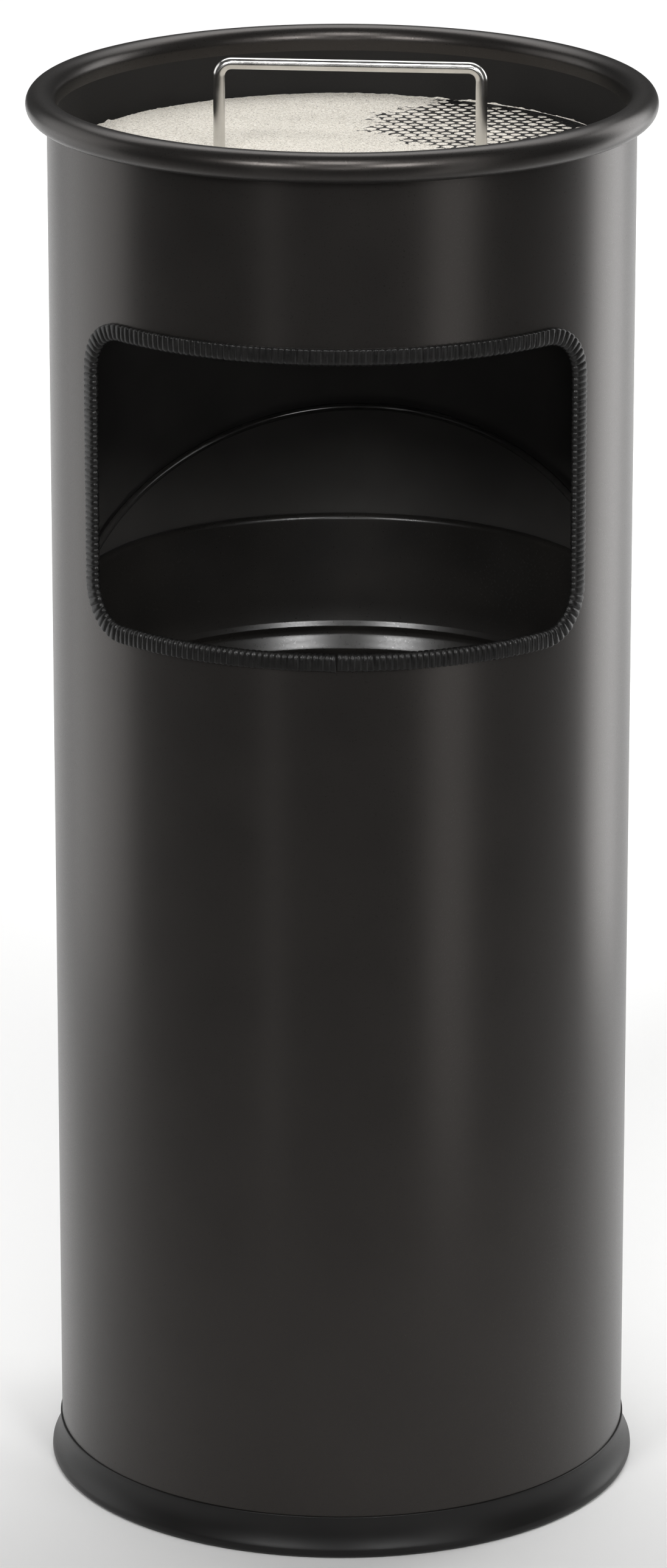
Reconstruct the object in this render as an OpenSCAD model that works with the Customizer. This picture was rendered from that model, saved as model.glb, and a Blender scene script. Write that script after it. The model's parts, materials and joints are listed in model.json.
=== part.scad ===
// Standing ashtray bin: steel tube with a waste window, lift-out ash bowl with sand and a
// sieve, and a lift-out liner bucket with a wire bail. Millimetres, +Z up, window towards -Y,
// origin on the floor at the middle of the base ring.

/* [Overall] */
// Outside diameter of the steel tube
tube_d = 250; // [200:1:320]
// Height from the floor to the top of the rolled bead
rim_z = 620; // [480:1:760]
// Thickness of the steel sheet used for tube and bowl
sheet_t = 0.8; // [0.6:0.1:1.5]

/* [Window] */
// Drop from the bead's top to the window's upper sheet edge
window_drop = 88.7; // [84:0.1:120]
// Height of the window opening in the sheet
window_h = 125.8; // [90:0.1:155]
// Half angle from the middle of the window to the centre of its corner arcs
window_half_angle = 45.4; // [25:0.1:60]
// Radius of the window corners
window_corner_r = 18; // [6:0.5:30]
// Width of the edge trim seen from outside
trim_w = 7.3; // [5:0.1:9]
// Thickness of the outer leaf of the trim
trim_t = 1.7; // [1:0.1:3]

/* [Ash bowl] */
// Radius of the rolled bead's section
bead_r = 6.4; // [4:0.1:9]
// Depth of the bowl from the bead's top to the underside
bowl_depth = 72; // [50:1:75]
// Drop from the bead's top to the sieve's upper face
sieve_drop = 30; // [20:0.5:40]

/* [Sieve] */
// Gap between sieve plate and bowl wall
sieve_gap = 2; // [1:0.1:6]
// Thickness of the sieve plate
sieve_t = 1; // [0.6:0.1:2]
// Diameter of the sieve holes
sieve_hole_d = 4.5; // [3:0.1:5]
// Distance between neighbouring sieve holes
sieve_pitch = 6; // [5.8:0.1:12]
// Wire thickness of the sieve's handle
handle_wire_d = 5; // [3:0.1:7]
// Distance between the middles of the handle's legs
handle_span = 111.5; // [80:0.5:140]
// Height of the handle's bar above the bead's top, middle of the wire
handle_rise = 8.8; // [0:0.1:40]
// Turn of the sieve about the upright axis
sieve_turn = -3; // [-45:0.5:45]
// How far the sieve lies to the right of the tube's axis
sieve_shift = 1.5; // [-1.5:0.1:1.5]
// How far the handle sits to the right of the sieve's middle
handle_shift = 1.9; // [-5:0.1:5]

/* [Liner] */
// Gap between the liner's inner face and the middle of the bail's wire, level with the rim's roll
liner_gap = 7.18; // [7.18:0.01:19.18]
// Drop from the window's lower sheet edge to the liner's rolled rim
liner_drop = 4.5; // [1:0.1:60]
// Turn of the liner about the upright axis
liner_turn = -6; // [-45:0.5:45]
// Wire thickness of the bail
bail_wire_d = 3.5; // [2.5:0.1:3.6]
// Gap between the middle of the bail's wire and the tube
bail_gap = 3.7; // [3:0.1:4.5]
// Drop from the liner's rim to the bail's pivot
bail_drop = 25; // [20:0.5:40]
// Lean of the bail towards the back, from upright
bail_lean = 48; // [0:1:85]

/* [Base] */
// Height of the plastic base ring
base_h = 18; // [12:0.5:30]
// How far the foot of the ring stands out from the tube
base_flare = 4.4; // [2:0.1:12]

/* [Hidden] */
$fn = 96;
tube_r = tube_d / 2;
tube_in = tube_r - sheet_t;
bead_mid = tube_r + 2.6;
bead_z = rim_z - bead_r;
bowl_in = bead_mid - bead_r;
bowl_out = bowl_in + sheet_t;
tube_top = bead_z + sqrt(pow(bead_r - sheet_t, 2) - pow(bead_mid - tube_r, 2)) - 1;
tube_foot = 3;
bowl_floor = rim_z - bowl_depth;
bowl_corner = 9;
sieve_z = rim_z - sieve_drop;
sieve_r = bowl_in - sieve_gap;
plate_z = 24;
window_top = rim_z - window_drop;
window_z = window_top - window_h;
trim_nose = 1.3;
joint_x = 3;
seat = 0.03;
arc_steps = 10;
liner_top = window_z - liner_drop;
liner_foot = plate_z + 0.3;
roll_r = 2.5;
bail_r = tube_in - bail_gap;
bail_at_roll = sqrt(pow(bail_r, 2) - pow(bail_drop - roll_r, 2));
liner_r = bail_at_roll - liner_gap;
liner_out = liner_r + sheet_t;
roll_mid = liner_r + roll_r;
roll_z = liner_top - roll_r;
pivot_z = liner_top - bail_drop;
ear_t = 1.2;
ear_face = bail_r - 2.5;
ear_turn = asin(14 / liner_out);
rivet_turn = asin(9.2 / liner_out);
pin_play = 0.06;
pin_r = bail_wire_d / 2 - 0.05;
foot_len = 14;
bar_z = rim_z + handle_rise;
leg_x = handle_span / 2;
bend_r = 5.5;
bare_x = 66;
bare_y = 66;
bare_r = 58;

// ring of a rectangular section between two radii and two heights
module ring(r_in, r_out, z_low, z_high) {
    rotate_extrude()
        translate([r_in, z_low])
            square([r_out - r_in, z_high - z_low]);
}

// outline of one side of the window, drawn in the plane that touches the tube at the arcs
function side_points(reach, low, high, r) = concat(
    [[-3, low], [reach - r, low]],
    [for (i = [1:arc_steps]) [reach - r + r * sin(90 * i / arc_steps),
                              low + r - r * cos(90 * i / arc_steps)]],
    [for (i = [0:arc_steps]) [reach - r + r * cos(90 * i / arc_steps),
                              high - r + r * sin(90 * i / arc_steps)]],
    [[-3, high]]);

// block that fills the window's outline, grown by a margin, between two radii
module window_block(grow, r_in, r_out) {
    low = window_z - grow;
    high = window_top + grow;
    reach = window_corner_r + grow;
    intersection() {
        ring(r_in, r_out, low - 1, high + 1);
        union() {
            rotate([0, 0, -90 - window_half_angle])
                rotate_extrude(angle = 2 * window_half_angle)
                    translate([r_in - 8, low])
                        square([r_out - r_in + 16, high - low]);
            for (side = [-1, 1])
                rotate([0, 0, side * window_half_angle])
                    mirror([side > 0 ? 0 : 1, 0, 0])
                        translate([0, -r_in + 30, 0])
                            rotate([90, 0, 0])
                                linear_extrude(height = r_out - r_in + 40)
                                    polygon(side_points(reach, low, high, reach));
        }
    }
}

module body_tube() {
    color([0.05, 0.05, 0.055])
        difference() {
            ring(tube_in, tube_r, tube_foot, tube_top);
            window_block(0, tube_in - 1, tube_r + 1);
        }
}

module window_trim() {
    inner_face = tube_in - trim_t + 0.3;
    outer_face = tube_r + trim_t;
    cover = trim_w - trim_nose;
    color([0.03, 0.03, 0.03])
        difference() {
            window_block(cover, inner_face, outer_face);
            window_block(-trim_nose, inner_face - 1, outer_face + 1);
            difference() {
                window_block(cover + 1, tube_in - seat, tube_r + seat);
                window_block(-seat, tube_in - 1, tube_r + 1);
            }
            translate([joint_x - 0.25, -tube_r - 6, window_z - cover - 1])
                cube([0.5, 12, trim_w + 2]);
        }
}

module base_ring() {
    foot_r = tube_r + base_flare;
    color([0.04, 0.04, 0.04])
        rotate_extrude()
            difference() {
                polygon([
                    [tube_in - 5, 0],
                    [foot_r - 1.6, 0],
                    [foot_r - 0.5, 0.6],
                    [foot_r, 2],
                    [foot_r - 0.2, 3.6],
                    [foot_r - 1, 5.2],
                    [foot_r - 2, 7.2],
                    [foot_r - 2.8, 9.6],
                    [foot_r - 3.3, 12.4],
                    [tube_r + 0.9, base_h - 0.6],
                    [tube_r + 0.6, base_h],
                    [tube_r - 0.3, base_h],
                    [tube_r - 0.3, 11],
                    [tube_in - 3.4, 11],
                    [tube_in - 5, 9.4]
                ]);
                translate([tube_in - seat, tube_foot - seat])
                    square([sheet_t + 2 * seat, base_h]);
                translate([tube_in - 3, 1.8])
                    square([1.6, 6]);
            }
}

module bottom_plate() {
    plate_r = tube_in - seat;
    color([0.07, 0.07, 0.075])
        rotate_extrude()
            polygon([
                [0, plate_z - 1],
                [plate_r - 1, plate_z - 1],
                [plate_r - 1, 12],
                [plate_r, 12],
                [plate_r, plate_z],
                [0, plate_z]
            ]);
}

module ash_bowl() {
    inner_r = bead_r - sheet_t;
    color([0.05, 0.05, 0.055])
        union() {
            rotate_extrude()
                difference() {
                    translate([bead_mid, bead_z])
                        circle(r = bead_r);
                    translate([bead_mid, bead_z])
                        circle(r = inner_r);
                    translate([bowl_in - 1, bead_z - 2 * bead_r])
                        square([tube_r + 0.35 - bowl_in + 1, 2 * bead_r]);
                }
            rotate_extrude()
                polygon([
                    [bowl_in, bead_z + 1.2],
                    [bowl_in, bowl_floor + sheet_t + bowl_corner],
                    [bowl_in - 1.2, bowl_floor + sheet_t + 4.5],
                    [bowl_in - 4.5, bowl_floor + sheet_t + 1.2],
                    [bowl_in - bowl_corner, bowl_floor + sheet_t],
                    [0, bowl_floor + sheet_t],
                    [0, bowl_floor],
                    [bowl_in - bowl_corner, bowl_floor],
                    [bowl_in - 4.1, bowl_floor + 0.5],
                    [bowl_in - 0.5, bowl_floor + 4.1],
                    [bowl_out, bowl_floor + bowl_corner],
                    [bowl_out, bead_z + 1.2]
                ]);
        }
}

// places children in the sieve's own directions, from its middle
module at_sieve() {
    translate([sieve_shift, 0, 0])
        rotate([0, 0, sieve_turn])
            children();
}

// space kept free in the sand for the bent feet of the handle
module foot_trenches() {
    at_sieve()
        for (side = [-1, 1])
            translate([handle_shift + side * (leg_x - foot_len / 2), 0, sieve_z - 4])
                cube([foot_len + handle_wire_d + 3, handle_wire_d + 1.4, 8], center = true);
}

module sand_bed() {
    floor_z = bowl_floor + sheet_t + 0.05;
    fill_r = bowl_in - 0.1;
    color([0.78, 0.77, 0.74])
        difference() {
            rotate_extrude()
                polygon([
                    [0, floor_z],
                    [fill_r - bowl_corner, floor_z],
                    [fill_r - 4.6, floor_z + 1.3],
                    [fill_r - 1.3, floor_z + 4.6],
                    [fill_r, floor_z + bowl_corner],
                    [fill_r, sieve_z - sieve_t - 0.3],
                    [0, sieve_z - sieve_t - 0.3]
                ]);
            foot_trenches();
        }
}

module sieve_plate() {
    row_step = sieve_pitch * sqrt(3) / 2;
    rows = floor((sieve_r - 5) / row_step);
    keep_r = sieve_r - sieve_hole_d / 2 - 2;
    leg_clear = (handle_wire_d + sieve_hole_d) / 2 + 1.65;
    color([0.12, 0.12, 0.12])
        at_sieve()
            translate([0, 0, sieve_z - sieve_t])
                linear_extrude(height = sieve_t)
                    difference() {
                        circle(r = sieve_r);
                        for (row = [-rows:rows]) {
                            y = row * row_step;
                            shift = abs(row) % 2 == 1 ? sieve_pitch / 2 : 0;
                            half = sqrt(keep_r * keep_r - y * y);
                            columns = floor((half + sieve_pitch) / sieve_pitch);
                            for (column = [-columns:columns]) {
                                x = column * sieve_pitch + shift;
                                off = abs(abs(x - handle_shift) - leg_x);
                                near_leg = off < leg_clear && abs(y) < leg_clear;
                                if (x * x + y * y < keep_r * keep_r && !near_leg)
                                    translate([x, y])
                                        circle(d = sieve_hole_d);
                            }
                        }
                        for (side = [-1, 1])
                            translate([handle_shift + side * leg_x, 0])
                                circle(d = handle_wire_d + 2 * seat);
                    }
}

// quarter bend of round wire, from the -X end of a bar down into a leg
module wire_bend(wire_r) {
    translate([0, 0, -bend_r])
        rotate([90, 0, 0])
            rotate_extrude(angle = 90)
                translate([bend_r, 0])
                    circle(r = wire_r);
}

module sieve_handle() {
    wire_r = handle_wire_d / 2;
    foot_z = sieve_z - sieve_t - wire_r - seat;
    low_bend = foot_z + bend_r;
    color([0.72, 0.73, 0.74])
        at_sieve()
            translate([handle_shift, 0, 0]) {
                translate([-leg_x + bend_r, 0, bar_z])
                    rotate([0, 90, 0])
                        cylinder(r = wire_r, h = 2 * (leg_x - bend_r));
                for (side = [0, 1])
                    mirror([side, 0, 0]) {
                        translate([leg_x - bend_r, 0, bar_z])
                            wire_bend(wire_r);
                        translate([leg_x, 0, foot_z])
                            cylinder(r = wire_r, h = bar_z - bend_r - foot_z);
                        translate([leg_x - foot_len, 0, foot_z])
                            rotate([0, 90, 0])
                                cylinder(r = wire_r, h = foot_len);
                    }
            }
}

module sand_cover() {
    color([0.8, 0.79, 0.76])
        difference() {
            translate([sieve_shift, 0, sieve_z + 0.02])
                cylinder(r1 = sieve_r - 0.5, r2 = sieve_r - 2, h = 1.1);
            translate([bare_x, bare_y, sieve_z - 1])
                cylinder(r = bare_r, h = 5);
            at_sieve()
                for (side = [-1, 1])
                    translate([handle_shift + side * leg_x, 0, sieve_z - 1])
                        cylinder(d = handle_wire_d + 2 * seat, h = 5);
        }
}

module liner_shell() {
    low_ring = liner_top - 62;
    high_ring = liner_top - 52;
    half = 7.2;
    rise = 2.7;
    color([0.5, 0.5, 0.5])
        difference() {
            rotate_extrude()
                difference() {
                    union() {
                        polygon([
                            [liner_out, liner_foot],
                            [liner_out, low_ring - half],
                            [liner_out - rise, low_ring - 0.7],
                            [liner_out - rise, low_ring + 0.7],
                            [liner_out, low_ring + half],
                            [liner_out, roll_z],
                            [liner_r, roll_z],
                            [liner_r, low_ring + half],
                            [liner_r - rise, low_ring + 0.7],
                            [liner_r - rise, low_ring - 0.7],
                            [liner_r, low_ring - half],
                            [liner_r, liner_foot]
                        ]);
                        translate([roll_mid, roll_z])
                            circle(r = roll_r);
                        translate([liner_r + 0.6, high_ring])
                            circle(r = 1.9);
                    }
                    translate([roll_mid + 0.1, roll_z])
                        circle(r = roll_r - 0.75);
                    translate([liner_out, high_ring])
                        circle(r = 1.2);
                    translate([liner_out, high_ring - 2.5])
                        square([4, 5]);
                }
            rotate([0, 0, liner_turn])
                rivet_positions()
                    translate([liner_r - 3, 0, 0])
                        rotate([0, 90, 0])
                            cylinder(r = 1.6 + seat, h = 6);
        }
}

module liner_bottom() {
    skirt_r = liner_r - seat;
    color([0.45, 0.45, 0.45])
        rotate_extrude()
            polygon([
                [0, liner_foot + 5],
                [skirt_r - 0.8, liner_foot + 5],
                [skirt_r - 0.8, liner_foot],
                [skirt_r, liner_foot],
                [skirt_r, liner_foot + 5.8],
                [0, liner_foot + 5.8]
            ]);
}

// places children at the four rivets, two in each ear
module rivet_positions() {
    for (turn = [0, 180])
        for (side = [-1, 1])
            rotate([0, 0, turn + side * rivet_turn])
                translate([0, 0, pivot_z])
                    children();
}

// curved ear plate with a raised boss that carries the bail's end
module ear() {
    rotate([0, 0, liner_turn])
        difference() {
            union() {
                rotate([0, 0, -ear_turn])
                    rotate_extrude(angle = 2 * ear_turn)
                        translate([liner_out + seat, pivot_z - 11])
                            square([ear_t, 22]);
                translate([liner_out + 0.6, 0, pivot_z])
                    rotate([0, 90, 0])
                        cylinder(r1 = 6.4, r2 = 5, h = ear_face - liner_out - 0.6);
            }
            translate([liner_out + 1.6, 0, pivot_z])
                rotate([0, 90, 0])
                    cylinder(r = pin_r + pin_play, h = 10);
            rivet_positions()
                translate([liner_r - 3, 0, 0])
                    rotate([0, 90, 0])
                        cylinder(r = 1.6 + seat, h = 8);
        }
}

module liner_ear_right() {
    color([0.55, 0.55, 0.55])
        ear();
}

module liner_ear_left() {
    color([0.55, 0.55, 0.55])
        rotate([0, 0, 180])
            ear();
}

module ear_rivets() {
    head_x = liner_out + ear_t + 2 * seat;
    color([0.7, 0.7, 0.7])
        rotate([0, 0, liner_turn])
            rivet_positions() {
                translate([liner_r - 1.3, 0, 0])
                    rotate([0, 90, 0])
                        cylinder(r = 1.6, h = head_x + 1 - liner_r + 1.3);
                translate([head_x, 0, 0])
                    rotate([0, 90, 0])
                        cylinder(r1 = 3, r2 = 2, h = 1);
                translate([liner_r - 1.3, 0, 0])
                    rotate([0, 90, 0])
                        cylinder(r1 = 2, r2 = 2.6, h = 1.1);
            }
}

module liner_bail() {
    wire_r = bail_wire_d / 2;
    pin_end = liner_out + 1.9;
    overrun = 1.3;
    color([0.08, 0.08, 0.08])
        rotate([0, 0, liner_turn])
            translate([0, 0, pivot_z])
                rotate([-bail_lean, 0, 0])
                    rotate([90, 0, 0])
                        union() {
                            rotate([0, 0, -overrun])
                                rotate_extrude(angle = 180 + 2 * overrun)
                                    translate([bail_r, 0])
                                        circle(r = wire_r);
                            for (side = [0, 1])
                                mirror([side, 0, 0])
                                    translate([pin_end, 0, 0])
                                        rotate([0, 90, 0])
                                            cylinder(r = pin_r, h = bail_r - pin_end);
                        }
}

body_tube();
window_trim();
base_ring();
bottom_plate();
ash_bowl();
sand_bed();
sieve_plate();
sieve_handle();
sand_cover();
liner_shell();
liner_bottom();
liner_ear_left();
liner_ear_right();
ear_rivets();
liner_bail();
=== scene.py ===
"""Looks of a standing ashtray bin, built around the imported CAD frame. Lengths are in metres."""

import json
import math
import random

import bpy
import numpy as np
from mathutils import Matrix, Vector, noise
from mathutils.geometry import delaunay_2d_cdt


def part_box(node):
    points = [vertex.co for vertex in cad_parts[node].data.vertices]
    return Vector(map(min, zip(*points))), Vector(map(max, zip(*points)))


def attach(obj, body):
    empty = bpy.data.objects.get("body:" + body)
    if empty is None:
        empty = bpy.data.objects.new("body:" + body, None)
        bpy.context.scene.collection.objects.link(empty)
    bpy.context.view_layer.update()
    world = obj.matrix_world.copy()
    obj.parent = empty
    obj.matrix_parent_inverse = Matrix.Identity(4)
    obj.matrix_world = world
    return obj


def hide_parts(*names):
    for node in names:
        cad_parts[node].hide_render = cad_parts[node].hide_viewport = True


MM = 0.001
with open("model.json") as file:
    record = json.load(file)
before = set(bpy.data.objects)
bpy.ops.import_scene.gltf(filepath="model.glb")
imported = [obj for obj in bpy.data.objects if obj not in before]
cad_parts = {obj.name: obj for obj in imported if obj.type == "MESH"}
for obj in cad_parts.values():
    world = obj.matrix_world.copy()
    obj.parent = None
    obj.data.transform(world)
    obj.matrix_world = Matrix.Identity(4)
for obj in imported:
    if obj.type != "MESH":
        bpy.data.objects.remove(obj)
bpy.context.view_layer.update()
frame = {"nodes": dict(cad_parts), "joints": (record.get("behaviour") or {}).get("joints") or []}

# ---------------------------------------------------------------- sizes read from the frame

tube_low, tube_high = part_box("body_tube")
bowl_low, bowl_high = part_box("ash_bowl")
foot_low, foot_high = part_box("base_ring")
trim_low, trim_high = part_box("window_trim")
bed_low, bed_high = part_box("sand_bed")
sieve_low, sieve_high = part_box("sieve_plate")
handle_low, handle_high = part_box("sieve_handle")
liner_low, liner_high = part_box("liner_shell")
bail_low, bail_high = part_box("liner_bail")
swing = next(j for j in frame["joints"] if j["name"] == "bail_swing")

SHEET = 0.8 * MM
TUBE_R = tube_high.x
TUBE_IN = TUBE_R - SHEET
BEAD_MINOR = 6.4 * MM
BEAD_MID = bowl_high.x - BEAD_MINOR
BEAD_Z = bowl_high.z - BEAD_MINOR
BOWL_IN = BEAD_MID - BEAD_MINOR
BOWL_FLOOR = bowl_low.z + SHEET

TRIM_COVER = 6.0 * MM
TRIM_NOSE = 1.3 * MM
TRIM_JOINT = 3 * MM
TRIM_LEAF = 1.7 * MM
TRIM_INNER = 1.3 * MM
WINDOW_LOW = trim_low.z + TRIM_COVER
WINDOW_HIGH = trim_high.z - TRIM_COVER
WINDOW_CORNER = 18 * MM
WINDOW_HALF = math.radians(45.4) * TUBE_R + WINDOW_CORNER

SIEVE_R = (sieve_high.x - sieve_low.x) / 2
SIEVE_X = (sieve_high.x + sieve_low.x) / 2
SIEVE_TOP = sieve_high.z
SIEVE_TURN = math.radians(-3)
HOLE_R = 2.25 * MM
DOME_R = 2.7 * MM
PITCH = 6 * MM
WIRE_R = 2.5 * MM
LEG_CLEAR = 6.4 * MM
LEG_X = ((handle_high.x - handle_low.x) / 2 - WIRE_R) / math.cos(SIEVE_TURN)
HANDLE_X = ((handle_high.x + handle_low.x) / 2 - SIEVE_X) / math.cos(SIEVE_TURN)
BAR_Z = handle_high.z - WIRE_R

SHELL_IN = 111.2 * MM
ROLL_R = 2.5 * MM
BAIL_WIRE = 1.75 * MM
PIVOT = Vector(swing["pos_m"])
BAIL_AXIS = Vector(swing["axis"]).normalized()
BAIL_R = 120.5 * MM
BAIL_LEAN = math.acos((bail_high.z - PIVOT.z - BAIL_WIRE) / BAIL_R)

CIRCLE_STEPS = 384


# ---------------------------------------------------------------- mesh helpers


def arc(x, z, radius, start, end, steps):
    """Points of a circular arc in a section, angles in degrees, anticlockwise from +X."""
    turns = [math.radians(start + (end - start) * i / steps) for i in range(steps + 1)]
    return [(x + radius * math.cos(t), z + radius * math.sin(t)) for t in turns]


def add_mesh(name, points, faces, material, body, replaced=(), sharp=40):
    """Makes a smooth-shaded mesh object that rides on a body and stands for CAD nodes."""
    mesh = bpy.data.meshes.new(name)
    mesh.from_pydata([tuple(p) for p in points], [], [tuple(f) for f in faces])
    mesh.validate()
    mesh.polygons.foreach_set("use_smooth", [True] * len(mesh.polygons))
    mesh.set_sharp_from_angle(angle=math.radians(sharp))
    mesh.materials.append(material)
    piece = bpy.data.objects.new(name, mesh)
    bpy.context.collection.objects.link(piece)
    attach(piece, body)
    if replaced:
        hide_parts(*replaced)
    return piece


def lathe(name, section, material, body, replaced=(), sharp=40, steps=CIRCLE_STEPS):
    """Turns a section of (radius, height) points about Z. It closes on itself or on the axis."""
    on_axis = section[0][0] == 0 and section[-1][0] == 0
    inner = section[1:-1] if on_axis else section
    count = len(inner)
    points = []
    for i in range(steps):
        turn = 2 * math.pi * i / steps
        points += [(r * math.cos(turn), r * math.sin(turn), z) for r, z in inner]
    faces = []
    links = count - 1 if on_axis else count
    for i in range(steps):
        a, b = i * count, (i + 1) % steps * count
        for k in range(links):
            n = (k + 1) % count
            faces.append((a + k, b + k, b + n, a + n))
    if on_axis:
        first, last = len(points), len(points) + 1
        points += [(0, 0, section[0][1]), (0, 0, section[-1][1])]
        for i in range(steps):
            a, b = i * count, (i + 1) % steps * count
            faces.append((first, b, a))
            faces.append((last, a + count - 1, b + count - 1))
    return add_mesh(name, points, faces, material, body, replaced, sharp)


def smooth_step(low, high, value):
    t = min(1.0, max(0.0, (value - low) / (high - low)))
    return t * t * (3 - 2 * t)


def sweep(name, path, frames, radius, material, body, replaced=(), around=20):
    """Round wire along path points; frames gives two unit vectors across it at each point."""
    points, faces = [], []
    for centre, (u, v) in zip(path, frames):
        for k in range(around):
            turn = 2 * math.pi * k / around
            points.append(centre + radius * (math.cos(turn) * u + math.sin(turn) * v))
    last = len(path) - 1
    for i in range(last):
        a, b = i * around, (i + 1) * around
        for k in range(around):
            n = (k + 1) % around
            faces.append((a + k, a + n, b + n, b + k))
    faces.append(tuple(reversed(range(around))))
    faces.append(tuple(last * around + k for k in range(around)))
    return add_mesh(name, points, faces, material, body, replaced)


# ---------------------------------------------------------------- materials


def new_material(name):
    """A node material with object coordinates in millimetres, ready for its surface detail."""
    material = bpy.data.materials.new(name)
    material.use_nodes = True
    nodes, links = material.node_tree.nodes, material.node_tree.links
    place = nodes.new("ShaderNodeTexCoord")
    scale = nodes.new("ShaderNodeVectorMath")
    scale.operation = "SCALE"
    scale.inputs["Scale"].default_value = 1000
    links.new(place.outputs["Object"], scale.inputs[0])
    return material, nodes, links, nodes["Principled BSDF"], scale.outputs[0]


def grain(nodes, links, place, size, detail=3.0):
    """Noise whose features are about size millimetres across."""
    texture = nodes.new("ShaderNodeTexNoise")
    texture.inputs["Scale"].default_value = 1 / size
    texture.inputs["Detail"].default_value = detail
    links.new(place, texture.inputs["Vector"])
    return texture.outputs["Fac"]


def ramp(nodes, links, value, stops, target):
    """Maps a value through colours to a socket."""
    blend = nodes.new("ShaderNodeValToRGB")
    while len(blend.color_ramp.elements) < len(stops):
        blend.color_ramp.elements.new(0.5)
    for element, (position, colour) in zip(blend.color_ramp.elements, stops):
        element.position = position
        element.color = (*colour, 1) if len(colour) == 3 else colour
    links.new(value, blend.inputs["Fac"])
    links.new(blend.outputs["Color"], target)


def spread(nodes, links, value, low, high, target):
    """Maps a 0..1 value to a range of numbers on a socket."""
    remap = nodes.new("ShaderNodeMapRange")
    remap.inputs["From Min"].default_value = 0.3
    remap.inputs["From Max"].default_value = 0.7
    remap.inputs["To Min"].default_value = low
    remap.inputs["To Max"].default_value = high
    links.new(value, remap.inputs["Value"])
    links.new(remap.outputs["Result"], target)


def bump(nodes, links, value, depth, shader, strength=1.0):
    """Fine relief of the given depth in millimetres."""
    relief = nodes.new("ShaderNodeBump")
    relief.inputs["Strength"].default_value = strength
    relief.inputs["Distance"].default_value = depth * MM
    links.new(value, relief.inputs["Height"])
    links.new(relief.outputs["Normal"], shader.inputs["Normal"])


def grey(level, warmth=0.0):
    return (level * (1 + warmth), level, level * (1 - warmth))


def powder_coat():
    material, nodes, links, shader, place = new_material("powder_coat")
    shader.inputs["IOR"].default_value = 1.5
    # Painted light: the warm specular tint stands in for warm lamp light in the coat's
    # reflections.
    shader.inputs["Specular Tint"].default_value = (1, 0.92, 0.87, 1)
    patches = grain(nodes, links, place, 35, 2)
    ramp(nodes, links, patches, [(0.3, grey(0.0055, 0.06)), (0.7, grey(0.0075, 0.07))],
         shader.inputs["Base Color"])
    fine = grain(nodes, links, place, 0.55, 2)
    spread(nodes, links, fine, 0.27, 0.33, shader.inputs["Roughness"])
    bump(nodes, links, fine, 0.012, shader)
    return material


def inside_black_painted_light(name, level):
    """Matt black of the inner faces, its patches within a tenth of a grey level. Its level is
    painted light: each use sets it to stand in for the light that reaches that inside, not the
    paint's own black.
    """
    material, nodes, links, shader, place = new_material(name)
    shader.inputs["Specular IOR Level"].default_value = 0.12
    patches = grain(nodes, links, place, 30, 2)
    ramp(nodes, links, patches, [(0.3, grey(0.9 * level, 0.05)), (0.7, grey(1.1 * level, 0.05))],
         shader.inputs["Base Color"])
    fine = grain(nodes, links, place, 0.6, 2)
    spread(nodes, links, fine, 0.7, 0.85, shader.inputs["Roughness"])
    return material


def liner_paint():
    material, nodes, links, shader, place = new_material("liner_paint")
    shader.inputs["IOR"].default_value = 1.6
    patches = grain(nodes, links, place, 28, 3)
    ramp(nodes, links, patches, [(0.3, grey(0.014, 0.07)), (0.7, grey(0.020, 0.09))],
         shader.inputs["Base Color"])
    fine = grain(nodes, links, place, 0.8, 3)
    spread(nodes, links, fine, 0.27, 0.34, shader.inputs["Roughness"])
    bump(nodes, links, fine, 0.01, shader)
    return material


def trim_pvc():
    material, nodes, links, shader, place = new_material("trim_pvc")
    shader.inputs["IOR"].default_value = 1.3
    patches = grain(nodes, links, place, 4, 4)
    ramp(nodes, links, patches, [(0.3, grey(0.005, 0.03)), (0.7, grey(0.010, 0.04))],
         shader.inputs["Base Color"])
    fine = grain(nodes, links, place, 0.7, 3)
    spread(nodes, links, fine, 0.26, 0.38, shader.inputs["Roughness"])
    bump(nodes, links, fine, 0.05, shader)
    return material


def base_plastic():
    material, nodes, links, shader, place = new_material("base_plastic")
    shader.inputs["IOR"].default_value = 1.36
    patches = grain(nodes, links, place, 22, 3)
    ramp(nodes, links, patches, [(0.3, grey(0.0045, 0.05)), (0.7, grey(0.0065, 0.06))],
         shader.inputs["Base Color"])
    fine = grain(nodes, links, place, 0.35, 2)
    spread(nodes, links, fine, 0.36, 0.44, shader.inputs["Roughness"])
    bump(nodes, links, fine, 0.008, shader)
    return material


def sand_material():
    material, nodes, links, shader, place = new_material("sand")
    shader.inputs["Specular IOR Level"].default_value = 0.25
    grains = nodes.new("ShaderNodeTexVoronoi")
    grains.inputs["Scale"].default_value = 1 / 0.45
    links.new(place, grains.inputs["Vector"])
    tint = nodes.new("ShaderNodeSeparateColor")
    links.new(grains.outputs["Color"], tint.inputs["Color"])
    ramp(nodes, links, tint.outputs["Red"],
         [(0.0, (0.27, 0.25, 0.22)), (0.1, (0.53, 0.49, 0.43)), (0.5, (0.66, 0.62, 0.55)),
          (1.0, (0.79, 0.76, 0.70))],
         shader.inputs["Base Color"])
    shader.inputs["Roughness"].default_value = 0.85
    clumps = grain(nodes, links, place, 1.1, 4)
    bump(nodes, links, clumps, 0.5, shader, 0.8)
    return material


def dark_steel():
    material, nodes, links, shader, place = new_material("dark_steel")
    shader.inputs["Metallic"].default_value = 0.6
    dust_and_painted_dark = grain(nodes, links, place, 0.8, 4)
    # Painted reflection: the dark low end of this ramp stands in for the black bowl wall reflected
    # in the zinc-plated plate; the light high end is real sand dust.
    ramp(nodes, links, dust_and_painted_dark,
         [(0.42, grey(0.008, 0.02)), (0.62, grey(0.014, 0.04)), (0.72, (0.40, 0.37, 0.33))],
         shader.inputs["Base Color"])
    spread(nodes, links, dust_and_painted_dark, 0.3, 0.7, shader.inputs["Roughness"])
    bump(nodes, links, dust_and_painted_dark, 0.1, shader)
    return material


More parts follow.
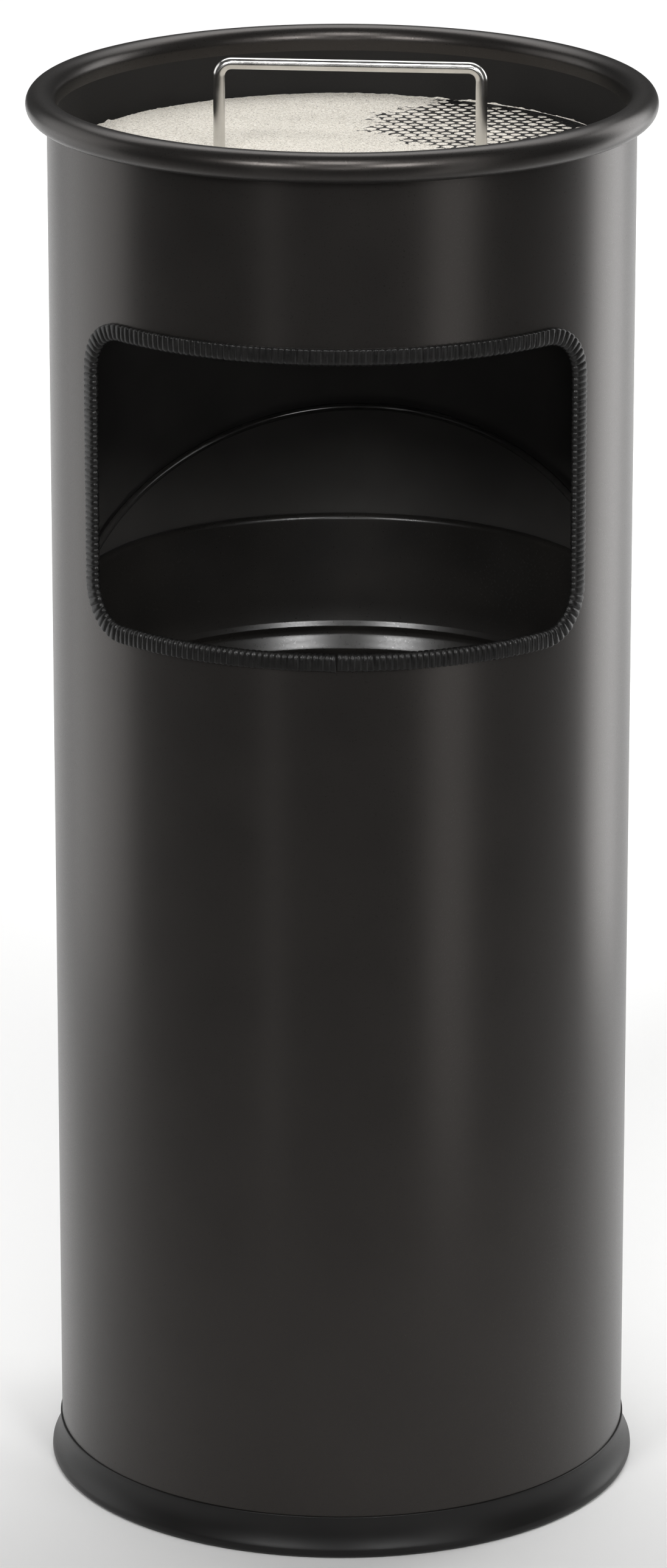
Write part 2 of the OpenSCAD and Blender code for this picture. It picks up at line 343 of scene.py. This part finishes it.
def zinc_wire():
    material, nodes, links, shader, place = new_material("zinc_wire")
    shader.inputs["Metallic"].default_value = 1.0
    cloud = grain(nodes, links, place, 9, 3)
    ramp(nodes, links, cloud, [(0.3, (0.60, 0.59, 0.57)), (0.7, (0.70, 0.69, 0.67))],
         shader.inputs["Base Color"])
    spread(nodes, links, cloud, 0.16, 0.22, shader.inputs["Roughness"])
    return material


def bail_lacquer():
    material, nodes, links, shader, place = new_material("bail_lacquer")
    shader.inputs["IOR"].default_value = 1.6
    streaks = grain(nodes, links, place, 3, 3)
    # Painted light: the wire's black is lifted toward the tube's lifted inside, standing in for
    # light there; the streaks are random tone.
    ramp(nodes, links, streaks, [(0.3, grey(0.026, 0.04)), (0.7, grey(0.034, 0.05))],
         shader.inputs["Base Color"])
    spread(nodes, links, streaks, 0.10, 0.16, shader.inputs["Roughness"])
    return material


def floor_material():
    material, nodes, links, shader, place = new_material("pale_floor")
    cloud = grain(nodes, links, place, 400, 2)
    ramp(nodes, links, cloud, [(0.3, grey(0.86, 0.004)), (0.7, grey(0.88, 0.004))],
         shader.inputs["Base Color"])
    shader.inputs["Roughness"].default_value = 0.9
    shader.inputs["Specular IOR Level"].default_value = 0.1
    return material


# ---------------------------------------------------------------- tube and window


def outline_distance(along, height):
    """Signed distance from the window's outline in the developed sheet, and the nearest point."""
    middle = (WINDOW_LOW + WINDOW_HIGH) / 2
    corner = WINDOW_CORNER
    core_x = WINDOW_HALF - corner
    core_z = (WINDOW_HIGH - WINDOW_LOW) / 2 - corner
    side_x = math.copysign(1, along)
    side_z = math.copysign(1, height - middle)
    out_x = abs(along) - core_x
    out_z = abs(height - middle) - core_z
    if out_x > 0 and out_z > 0:
        reach = math.hypot(out_x, out_z)
        near = (core_x + out_x / reach * corner, core_z + out_z / reach * corner)
        distance = reach - corner
    elif out_x - corner > out_z - corner:
        near = (WINDOW_HALF, abs(height - middle))
        distance = out_x - corner
    else:
        near = (abs(along), core_z + corner)
        distance = out_z - corner
    return distance, (side_x * near[0], middle + side_z * near[1])


def body_tube(material, inner):
    """Sheet tube as a grid in the developed sheet; cells in the window are left out."""
    columns = 480
    step = 2 * math.pi * TUBE_R / columns
    rows = round((tube_high.z - tube_low.z) / step)
    heights = np.linspace(tube_low.z, tube_high.z, rows + 1)
    offset = columns // 2
    kept, removed = set(), set()
    cells = []
    for i in range(columns):
        along = (i + 0.5 - offset) * step
        for j in range(rows):
            middle = (heights[j] + heights[j + 1]) / 2
            corners = [(i, j), ((i + 1) % columns, j), ((i + 1) % columns, j + 1), (i, j + 1)]
            if outline_distance(along, middle)[0] < 0:
                removed.update(corners)
            else:
                kept.update(corners)
                cells.append(corners)
    index, points = {}, []
    for i, j in sorted(kept):
        along, height = (i - offset) * step, heights[j]
        if (i, j) in removed:
            along, height = outline_distance(along, height)[1]
        turn = along / TUBE_R
        index[i, j] = len(points)
        points.append((TUBE_R * math.sin(turn), -TUBE_R * math.cos(turn), height))
    count = len(points)
    shrink = TUBE_IN / TUBE_R
    points += [(x * shrink, y * shrink, z) for x, y, z in points]
    faces, edges = [], {}
    for corners in cells:
        ring = [index[c] for c in corners]
        faces.append(ring)
        faces.append([count + k for k in reversed(ring)])
        for a, b in zip(ring, ring[1:] + ring[:1]):
            edges[a, b] = (b, a) not in edges
            if not edges[a, b]:
                del edges[a, b], edges[b, a]
    faces += [(b, a, a + count, b + count) for a, b in edges]
    piece = add_mesh("body_tube_sheet", points, faces, material, "bin", ["body_tube"], 30)
    piece.data.materials.append(inner)
    for face in piece.data.polygons:
        if min(face.vertices) >= count:
            face.material_index = 1


def window_path(step):
    """Points along the window's outline from the strip's joint: developed place, outward way."""
    corner = WINDOW_CORNER
    half = WINDOW_HALF
    legs = []
    straight_low = half - corner
    straight_side = WINDOW_HIGH - WINDOW_LOW - 2 * corner
    quarter = math.pi / 2 * corner
    legs.append(("line", straight_low - TRIM_JOINT, (TRIM_JOINT, WINDOW_LOW), (1, 0)))
    legs.append(("arc", quarter, (half - corner, WINDOW_LOW + corner), -90))
    legs.append(("line", straight_side, (half, WINDOW_LOW + corner), (0, 1)))
    legs.append(("arc", quarter, (half - corner, WINDOW_HIGH - corner), 0))
    legs.append(("line", 2 * straight_low, (half - corner, WINDOW_HIGH), (-1, 0)))
    legs.append(("arc", quarter, (corner - half, WINDOW_HIGH - corner), 90))
    legs.append(("line", straight_side, (-half, WINDOW_HIGH - corner), (0, -1)))
    legs.append(("arc", quarter, (corner - half, WINDOW_LOW + corner), 180))
    legs.append(("line", straight_low + TRIM_JOINT, (corner - half, WINDOW_LOW), (1, 0)))
    total = sum(leg[1] for leg in legs)
    count = round(total / step)
    result = []
    for i in range(count + 1):
        s = total * i / count
        rest = s
        for kind, length, base, way in legs:
            if rest <= length or (kind, base) == (legs[-1][0], legs[-1][2]):
                break
            rest -= length
        if kind == "line":
            place = (base[0] + way[0] * rest, base[1] + way[1] * rest)
            outward = (way[1], -way[0])
        else:
            turn = math.radians(way) + rest / corner
            place = (base[0] + corner * math.cos(turn), base[1] + corner * math.sin(turn))
            outward = (math.cos(turn), math.sin(turn))
        result.append((s, place, outward))
    return result, total


def trim_section():
    """Clip-on strip's section: (outward from the sheet's edge, radial from the sheet's middle)."""
    outer = SHEET / 2 + TRIM_LEAF
    inner = SHEET / 2 + TRIM_INNER
    round_r = 0.8 * MM
    points = [(TRIM_COVER, SHEET / 2 + 0.03 * MM), (TRIM_COVER, outer - round_r)]
    points += arc(TRIM_COVER - round_r, outer - round_r, round_r, 20, 90, 4)
    points += [(3.2 * MM, outer + 0.1 * MM), (1.6 * MM, outer)]
    span = 1.6 * MM + TRIM_NOSE
    for i in range(1, 12):
        turn = math.pi / 2 + math.pi * i / 12
        reach = outer if math.sin(turn) > 0 else inner
        points.append((1.6 * MM + span * math.cos(turn), reach * math.sin(turn)))
    points += [(1.6 * MM, -inner), (3.2 * MM, -inner)]
    points += arc(TRIM_COVER - round_r, -inner + round_r, round_r, 270, 340, 4)
    points += [(TRIM_COVER, -SHEET / 2 - 0.03 * MM), (0.05 * MM, -SHEET / 2 - 0.03 * MM),
               (0.05 * MM, SHEET / 2 + 0.03 * MM)]
    return points


def window_trim(material):
    """Ribbed strip clipped over the window's edge, with its butt joint at the bottom centre."""
    path, total = window_path(0.32 * MM)
    ribs = round(total / (5.2 * MM))
    rib = total / ribs
    dice = random.Random(7)
    lift = [dice.uniform(-0.10, 0.10) * MM for _ in range(ribs + 1)]
    section = trim_section()
    middle = (1.9 * MM, 0.0)
    gap = 0.3 * MM
    centre_r = TUBE_R - SHEET / 2
    points, faces = [], []
    rings = 0
    for s, place, outward in path:
        if s < gap or s > total - gap:
            continue
        phase = s / rib % 1.0
        which = int(s / rib) % ribs
        groove = math.exp(-((min(phase, 1 - phase) * rib / (0.42 * MM)) ** 2))
        seam = math.exp(-(((phase - 0.5) * rib / (0.38 * MM)) ** 2))
        crown = math.sin(math.pi * phase)
        humps = abs(math.sin(2 * math.pi * phase))
        puff = (0.20 * humps - 0.42 * groove - 0.26 * seam) * MM + lift[which] * crown
        end = max(0.0, 1 - min(s, total - s) / (7 * MM))
        tilt = 0.45 * MM * end * end * (1 if s < total / 2 else -1)
        for n, r in section:
            away = math.hypot(n - middle[0], r - middle[1])
            covers = abs(r) > SHEET / 2 + 0.2 * MM or n < 0
            grow = puff if covers else 0.0
            n2 = n + grow * (n - middle[0]) / away * 0.7 - tilt
            r2 = r + grow * (r - middle[1]) / away
            along = place[0] + outward[0] * n2
            height = place[1] + outward[1] * n2
            turn = along / TUBE_R
            reach = centre_r + r2
            points.append((reach * math.sin(turn), -reach * math.cos(turn), height))
        rings += 1
    count = len(section)
    for i in range(rings - 1):
        a, b = i * count, (i + 1) * count
        for k in range(count):
            n = (k + 1) % count
            faces.append((a + k, a + n, b + n, b + k))
    faces.append(tuple(reversed(range(count))))
    faces.append(tuple((rings - 1) * count + k for k in range(count)))
    add_mesh("window_trim_strip", points, faces, material, "bin", ["window_trim"], 55)


# ---------------------------------------------------------------- lathe-turned pieces


def base_ring(material):
    foot = foot_high.x
    top = foot_high.z
    lip = TUBE_R + 0.75 * MM
    section = [(TUBE_IN - 5 * MM, 0.0006), (TUBE_IN - 4.4 * MM, 0)]
    section += arc(foot - 2.2 * MM, 2.2 * MM, 2.2 * MM, -90, 12, 10)
    section += [(foot - 0.15 * MM, 3.6 * MM), (foot - 0.42 * MM, 4.3 * MM)]
    for i in range(1, 15):
        t = i / 14
        section.append((foot - 0.42 * MM - (foot - 0.42 * MM - lip) * (1 - (1 - t) ** 2.1),
                        4.3 * MM + (top - 6.6 * MM) * t))
    section += arc(lip - 0.45 * MM, top - 0.45 * MM, 0.45 * MM, 0, 90, 5)
    section += [(TUBE_R + 0.04 * MM, top), (TUBE_R + 0.04 * MM, 2.96 * MM),
                (TUBE_IN - 0.04 * MM, 2.96 * MM), (TUBE_IN - 0.04 * MM, 10.4 * MM)]
    section += [(TUBE_IN - 0.6 * MM, 11 * MM), (TUBE_IN - 3.6 * MM, 11 * MM),
                (TUBE_IN - 5 * MM, 9.4 * MM)]
    return lathe("base_ring_moulding", section, material, "bin", ["base_ring"], 35)


def ash_bowl(material, inner):
    """Bowl of sheet whose rim rolls outward into a bead over the tube's edge."""
    hollow = BEAD_MINOR - SHEET
    corner = 9 * MM
    floor = BOWL_FLOOR
    wall = BOWL_IN
    section = [(0, floor)]
    section += [(wall - corner, floor)]
    section += arc(wall - corner, floor + corner, corner, -90, 0, 12)[1:]
    section += [(wall, floor + 20 * MM), (wall, BEAD_Z - 12 * MM), (wall, BEAD_Z - 4 * MM)]
    section += arc(BEAD_MID, BEAD_Z, BEAD_MINOR, 180, -112, 64)
    section += arc(BEAD_MID, BEAD_Z, hollow, -112, 176, 40)
    outside = wall + SHEET
    section += [(outside, BEAD_Z - 4 * MM), (outside, floor + 20 * MM)]
    section += arc(wall - corner, floor + corner, corner + SHEET, 0, -90, 12)
    section += [(0, floor - SHEET)]
    piece = lathe("ash_bowl_sheet", section, material, "bowl", ["ash_bowl"], 35)
    piece.data.materials.append(inner)
    for face in piece.data.polygons:
        if face.center.z < BEAD_Z - 2 * MM and face.center.xy.length < wall + 0.1 * MM:
            face.material_index = 1


def liner_shell(material):
    """Bucket wall with a rolled rim and two swage rings that stand inward."""
    wall = SHELL_IN
    top = liner_high.z
    roll = (wall + ROLL_R, top - ROLL_R)
    low = liner_low.z
    section = [(wall, low + 0.3 * MM)]
    inside = []
    for drop, height, half in ((62 * MM, 2.7 * MM, 6.5 * MM), (51.7 * MM, 1.0 * MM, 2.4 * MM)):
        for i in range(-14, 15):
            t = i / 14
            slope = 1 - abs(t)
            swell = 0.7 * slope + 0.3 * smooth_step(0, 1, slope)
            inside.append((wall - height * swell, top - drop + half * t))
    section += inside
    section += [(wall, top - 40 * MM), (wall, top - 20 * MM), (wall, roll[1] - 3 * MM)]
    section += arc(roll[0], roll[1], ROLL_R, 180, -150, 40)
    outer = [(r + SHEET, z) for r, z in reversed(inside)]
    section += [(wall + SHEET, roll[1] - 3 * MM), (wall + SHEET, top - 20 * MM),
                (wall + SHEET, top - 40 * MM)]
    section += outer
    section += [(wall + SHEET, low + 0.3 * MM), (wall + SHEET / 2, low)]
    return lathe("liner_shell_sheet", section, material, "liner", ["liner_shell"], 50)


# ---------------------------------------------------------------- sieve and sand


def sieve_place(x, y):
    """From the sieve's own directions to the row's."""
    c, s = math.cos(SIEVE_TURN), math.sin(SIEVE_TURN)
    return x * c - y * s + SIEVE_X, x * s + y * c


def hole_centres():
    """Staggered rows of holes, left out at the rim and round the handle's legs."""
    row_step = PITCH * math.sqrt(3) / 2
    keep = SIEVE_R - HOLE_R - 2 * MM
    rows = math.floor((SIEVE_R - 5 * MM) / row_step)
    centres = []
    for row in range(-rows, rows + 1):
        y = row * row_step
        shift = PITCH / 2 if row % 2 else 0
        half = math.sqrt(keep * keep - y * y)
        columns = math.floor((half + PITCH) / PITCH)
        for column in range(-columns, columns + 1):
            x = column * PITCH + shift
            at_leg = abs(abs(x - HANDLE_X) - LEG_X) < LEG_CLEAR and abs(y) < LEG_CLEAR
            if math.hypot(x, y) < keep and not at_leg:
                centres.append((x, y))
    return centres


def near_hole(x, y):
    """Nearest hole of the staggered pattern: its centre."""
    row_step = PITCH * math.sqrt(3) / 2
    best = None
    base = round(y / row_step)
    for row in (base - 1, base, base + 1):
        shift = PITCH / 2 if row % 2 else 0
        cx = round((x - shift) / PITCH) * PITCH + shift
        cy = row * row_step
        d = (x - cx) ** 2 + (y - cy) ** 2
        if best is None or d < best[0]:
            best = (d, cx, cy)
    return best[1], best[2]


def sieve_plate(material, centres):
    """Round plate with every punched hole, cut in one flat triangulation and thickened."""
    hole_steps = 14
    rim_steps = 240
    flat, edges = [], []

    def loop(cx, cy, radius, steps):
        first = len(flat)
        for k in range(steps):
            turn = 2 * math.pi * k / steps
            flat.append(Vector((cx + radius * math.cos(turn), cy + radius * math.sin(turn))))
            edges.append((first + k, first + (k + 1) % steps))

    loop(0, 0, SIEVE_R, rim_steps)
    for cx, cy in centres:
        loop(cx, cy, HOLE_R, hole_steps)
    out, _, triangles, *_ = delaunay_2d_cdt(flat, edges, [], 1, 1e-7)
    holes = set((round(cx / MM, 2), round(cy / MM, 2)) for cx, cy in centres)
    kept = []
    for triangle in triangles:
        cx = sum(out[k][0] for k in triangle) / 3
        cy = sum(out[k][1] for k in triangle) / 3
        hx, hy = near_hole(cx, cy)
        open_hole = (round(hx / MM, 2), round(hy / MM, 2)) in holes
        if open_hole and math.hypot(cx - hx, cy - hy) < HOLE_R * 0.96:
            continue
        kept.append(triangle)
    places = [sieve_place(p[0], p[1]) for p in out]
    count = len(places)
    points = [(x, y, SIEVE_TOP) for x, y in places] + [(x, y, sieve_low.z) for x, y in places]
    faces, border = [], {}
    for triangle in kept:
        faces.append(tuple(triangle))
        faces.append(tuple(count + k for k in reversed(triangle)))
        for a, b in zip(triangle, triangle[1:] + triangle[:1]):
            if (b, a) in border:
                del border[b, a]
            else:
                border[a, b] = True
    faces += [(b, a, a + count, b + count) for a, b in border]
    add_mesh("sieve_sheet", points, faces, material, "sieve", ["sieve_plate"], 30)


def rough(x, y, size, seed=0.0):
    return noise.noise(Vector((x / size, y / size, seed)))


def cover_depth(x, y):
    """Depth of the loose sand over the plate; below zero where the plate lies bare."""
    bare = math.hypot((x - 70 * MM) / (62 * MM), (y - 66 * MM) / (50 * MM))
    edge = bare - 1 + 0.10 * rough(x, y, 14 * MM, 3.1) + 0.05 * rough(x, y, 5 * MM, 8.7)
    depth = 1.05 * smooth_step(-0.02, 0.75, edge) + 0.28 * smooth_step(-0.1, 0.1, edge) - 0.22
    return depth * MM + 0.10 * MM * rough(x, y, 9 * MM, 1.3) + 0.05 * MM * rough(x, y, 2.2 * MM)


def sand_height(x, y, filled):
    """Top of the sand that lies on the sieve and stands in its holes."""
    hx, hy = near_hole(x, y)
    away = math.hypot(x - hx, y - hy)
    ripple = 0.05 * MM * rough(x, y, 1.1 * MM, 5.5)
    cover = cover_depth(x, y)
    shallow = 1 - smooth_step(0.35 * MM, 1.5 * MM, cover)
    dimple = (0.06 + 0.30 * shallow) * MM * math.exp(-((away / (1.7 * MM)) ** 2))
    clumps = 0.30 * MM * (rough(x, y, 1.7 * MM, 4.2) + 0.5 * rough(x, y, 0.8 * MM, 7.7)) * shallow
    top = cover - dimple + ripple + clumps
    key = (round(hx / MM, 2), round(hy / MM, 2))
    if key in filled and away < DOME_R:
        dome = filled[key] + 0.46 * MM * (1 - (away / DOME_R) ** 2) + ripple
        top = max(top, dome)
    return SIEVE_TOP + max(top, -0.75 * MM)


def sand_cover(material, centres):
    """Sand on the sieve: a fine grid with grains in the holes and dimples over them."""
    dice = random.Random(11)
    filled = {}
    for cx, cy in centres:
        lean = smooth_step(0.5, 1.05, (0.62 * cx + 0.78 * cy) / SIEVE_R)
        level = dice.uniform(-0.30, 0.08) - 0.28 * lean
        filled[round(cx / MM, 2), round(cy / MM, 2)] = level * MM
    reach = SIEVE_R - 0.25 * MM
    step = 0.62 * MM
    count = math.ceil(reach / step)
    index, points = {}, []
    for i in range(-count, count + 1):
        for j in range(-count, count + 1):
            x, y = i * step, j * step
            away = math.hypot(x, y)
            if away > reach + 0.5 * step:
                continue
            if away > reach - 0.5 * step:
                x, y = x / away * reach, y / away * reach
            index[i, j] = len(points)
            points.append((*sieve_place(x, y), sand_height(x, y, filled)))
    top = len(points)
    points += [(x, y, SIEVE_TOP - 0.85 * MM) for x, y, _ in points]
    faces, border = [], {}
    for i, j in index:
        ring = [index.get(c) for c in ((i, j), (i + 1, j), (i + 1, j + 1), (i, j + 1))]
        ring = [k for k in ring if k is not None]
        if len(ring) < 3 or ring[0] != index[i, j]:
            continue
        faces.append(ring)
        faces.append([top + k for k in reversed(ring)])
    for face in faces[::2]:
        for a, b in zip(face, face[1:] + face[:1]):
            if (b, a) in border:
                del border[b, a]
            else:
                border[a, b] = True
    faces += [(b, a, a + top, b + top) for a, b in border]
    add_mesh("sand_on_sieve", points, faces, material, "sieve", ["sand_cover"], 80)


def sand_bed(material):
    """Sand filling of the bowl, its rough edge standing round the sieve."""
    steps = 720
    radii = np.concatenate([np.linspace(0, SIEVE_R - 3 * MM, 60)[1:],
                            np.linspace(SIEVE_R - 2.4 * MM, BOWL_IN - 0.12 * MM, 14)])
    inside = bed_high.z
    wall = BOWL_IN - 0.12 * MM
    low = BOWL_FLOOR + 0.06 * MM
    corner = 9 * MM
    below = [(wall, low + corner)]
    below += arc(wall - corner, low + corner, corner, 0, -90, 8)[1:]
    points = [(0, 0, inside)]
    ring = len(radii) + len(below)
    for i in range(steps):
        turn = 2 * math.pi * i / steps
        c, s = math.cos(turn), math.sin(turn)
        for r in radii:
            z = inside + 0.15 * MM * (rough(r * c, r * s, 3 * MM, 2.2) - 0.5)
            away = math.hypot(r * c - SIEVE_X, r * s)
            crest = smooth_step(SIEVE_R + 0.05 * MM, SIEVE_R + 0.8 * MM, away)
            if crest > 0:
                lift = 1.5 + 0.75 * rough(r * c, r * s, 4.5 * MM, 6.4)
                z += (lift + 0.35 * rough(r * c, r * s, 1.1 * MM, 9.9)) * MM * crest
            points.append((r * c, r * s, z))
        points += [(r * c, r * s, z) for r, z in below]
    points.append((0, 0, low))
    last = len(points) - 1
    faces = []
    for i in range(steps):
        a, b = 1 + i * ring, 1 + (i + 1) % steps * ring
        faces.append((0, a, b))
        faces += [(a + k, a + k + 1, b + k + 1, b + k) for k in range(ring - 1)]
        faces.append((a + ring - 1, last, b + ring - 1))
    add_mesh("sand_filling", points, faces, material, "bowl", ["sand_bed"], 80)


def sieve_handle(material):
    """One bent wire: two feet under the plate, two legs and the bar."""
    bend = 5.5 * MM
    foot_z = sieve_low.z - WIRE_R - 0.03 * MM
    foot = 14 * MM
    route = [(-LEG_X + foot, foot_z), (-LEG_X + 3 * MM, foot_z)]
    route += arc(-LEG_X + 3 * MM, foot_z + 3 * MM, 3 * MM, 270, 180, 6)[1:]
    route += [(-LEG_X, foot_z + 20 * MM)]
    route += arc(-LEG_X + bend, BAR_Z - bend, bend, 180, 90, 12)
    route += [(-LEG_X + 30 * MM, BAR_Z), (0, BAR_Z)]
    route += [(-x, z) for x, z in reversed(route[:-1])]
    path = [Vector((x, 0, z)) for x, z in route]
    turned = Matrix.Rotation(SIEVE_TURN, 3, "Z")
    side = turned @ Vector((0, 1, 0))
    frames = []
    for i, _ in enumerate(path):
        way = path[min(i + 1, len(path) - 1)] - path[max(i - 1, 0)]
        way = turned @ way.normalized()
        frames.append((side, way.cross(side).normalized()))
    path = [turned @ (p + Vector((HANDLE_X, 0, 0))) + Vector((SIEVE_X, 0, 0)) for p in path]
    sweep("sieve_handle_wire", path, frames, WIRE_R, material, "sieve", ["sieve_handle"], 32)


def liner_bail(material):
    """Wire bail: a half circle between the ears with its ends bent inward into them."""
    pin = 6.6 * MM
    bend = 3.2 * MM
    up = Matrix.Rotation(-BAIL_LEAN, 3, BAIL_AXIS) @ Vector((0, 0, 1))
    across = BAIL_AXIS
    normal = across.cross(up).normalized()
    route = [(BAIL_R - pin, 0.0), (BAIL_R - bend, 0.0)]
    route += arc(BAIL_R - bend, bend, bend, -90, 0, 6)[1:]
    start = math.degrees(math.asin(bend / BAIL_R)) * 1.4
    route += arc(0, 0, BAIL_R, start, 90, 60)
    route += [(-x, z) for x, z in reversed(route[:-1])]
    path = [PIVOT + across * x + up * z for x, z in route]
    frames = []
    for i, _ in enumerate(path):
        way = (path[min(i + 1, len(path) - 1)] - path[max(i - 1, 0)]).normalized()
        frames.append((normal, way.cross(normal).normalized()))
    sweep("liner_bail_wire", path, frames, BAIL_WIRE, material, "bail", ["liner_bail"], 24)


# ---------------------------------------------------------------- stage, lights and camera


def floor():
    mesh = bpy.data.meshes.new("floor")
    half = 9.0
    mesh.from_pydata([(-half, -half, 0), (half, -half, 0), (half, half, 0), (-half, half, 0)],
                     [], [(0, 1, 2, 3)])
    mesh.materials.append(floor_material())
    plane = bpy.data.objects.new("floor", mesh)
    bpy.context.collection.objects.link(plane)


def softbox(name, place, aim, width, tall, power, spread=180):
    """Rectangular area light at a place, aimed at a point, its beam's full angle in degrees."""
    light = bpy.data.lights.new(name, "AREA")
    light.shape = "RECTANGLE"
    light.size = width
    light.size_y = tall
    light.energy = power
    light.spread = math.radians(spread)
    lamp = bpy.data.objects.new(name, light)
    lamp.location = place
    lamp.rotation_euler = (Vector(aim) - lamp.location).to_track_quat("-Z", "Y").to_euler()
    lamp.visible_camera = False
    bpy.context.collection.objects.link(lamp)


def around(azimuth, distance, height):
    """Place at an azimuth from the front, in degrees to the right."""
    turn = math.radians(azimuth)
    return (distance * math.sin(turn), -distance * math.cos(turn), height)


def studio():
    """Light floor behind the bin, softboxes beside it, and strips and soft lamps in front."""
    world = bpy.data.worlds.new("studio")
    world.use_nodes = True
    background = world.node_tree.nodes["Background"]
    background.inputs["Color"].default_value = (1, 1, 1, 1)
    background.inputs["Strength"].default_value = 0.07
    bpy.context.scene.world = world
    softbox("overhead_rear", (0, 2.2, 2.6), (0, 2.2, 0), 4.0, 3.0, 80, 120)
    softbox("rim_light", (0, -1.2, 2.0), (0, 0, 0.66), 0.5, 0.5, 0.55, 35)
    softbox("right_side", around(122, 0.7, 0.5), (0, 0, 0.4), 0.34, 1.0, 1.1, 100)
    softbox("left_side", around(-104, 0.7, 0.5), (0, 0, 0.4), 0.56, 1.0, 0.8, 100)
    softbox("right_front", around(41, 0.55, 0.56), (0, 0, 0.5), 0.16, 1.1, 0.62)
    softbox("left_front", around(-22, 0.55, 0.56), (0, 0, 0.5), 0.04, 1.1, 0.12)
    softbox("right_high", around(23, 2.2, 1.62), (0, 0, 0.36), 0.5, 0.5, 1.1, 38)
    softbox("left_high", around(-25, 2.2, 1.62), (0, 0, 0.36), 0.5, 0.5, 1.1, 38)
    softbox("window_fill", around(2, 2.2, 0.92), (0, 0, 0.45), 0.4, 0.4, 0.058, 20)


def camera():
    """Long lens well above the rim, turned a little to the right of the window."""
    lens = bpy.data.cameras.new("camera")
    lens.sensor_width = 36
    lens.lens = 165.97
    lens.clip_end = 50
    eye = bpy.data.objects.new("camera", lens)
    orbit = math.radians(2.35)
    distance = 3.0
    height = 1.271
    pitch = math.radians(17.76)
    pan = math.radians(0.069)
    eye.location = (distance * math.sin(orbit), -distance * math.cos(orbit), height)
    eye.rotation_euler = (math.pi / 2 - pitch, 0, orbit + pan)
    bpy.context.collection.objects.link(eye)
    bpy.context.scene.camera = eye


# ---------------------------------------------------------------- build


def repaint(node, material):
    """A CAD node that is shown as it is gets its finish."""
    mesh = frame["nodes"][node].data
    mesh.materials.clear()
    mesh.materials.append(material)


def build():
    coat = powder_coat()
    liner = liner_paint()
    zinc = zinc_wire()
    sand = sand_material()
    centres = hole_centres()
    # Painted light: the tube's inner face gets a black lifted far above the outer coat, standing
    # in for light inside the tube.
    body_tube(coat, inside_black_painted_light("inside_black_painted_light", 0.051))
    window_trim(trim_pvc())
    base_ring(base_plastic())
    # Painted light: the bowl's inner face, lit from above, gets a darker copy of the same black.
    ash_bowl(coat, inside_black_painted_light("bowl_black", 0.014))
    liner_shell(liner)
    sieve_plate(dark_steel(), centres)
    sand_cover(sand, centres)
    sand_bed(sand)
    sieve_handle(zinc)
    liner_bail(bail_lacquer())
    repaint("bottom_plate", coat)
    for node in ("liner_bottom", "liner_ear_left", "liner_ear_right"):
        repaint(node, liner)
    repaint("ear_rivets", zinc)


build()
floor()
studio()
camera()
bpy.context.scene.view_settings.view_transform = "Standard"
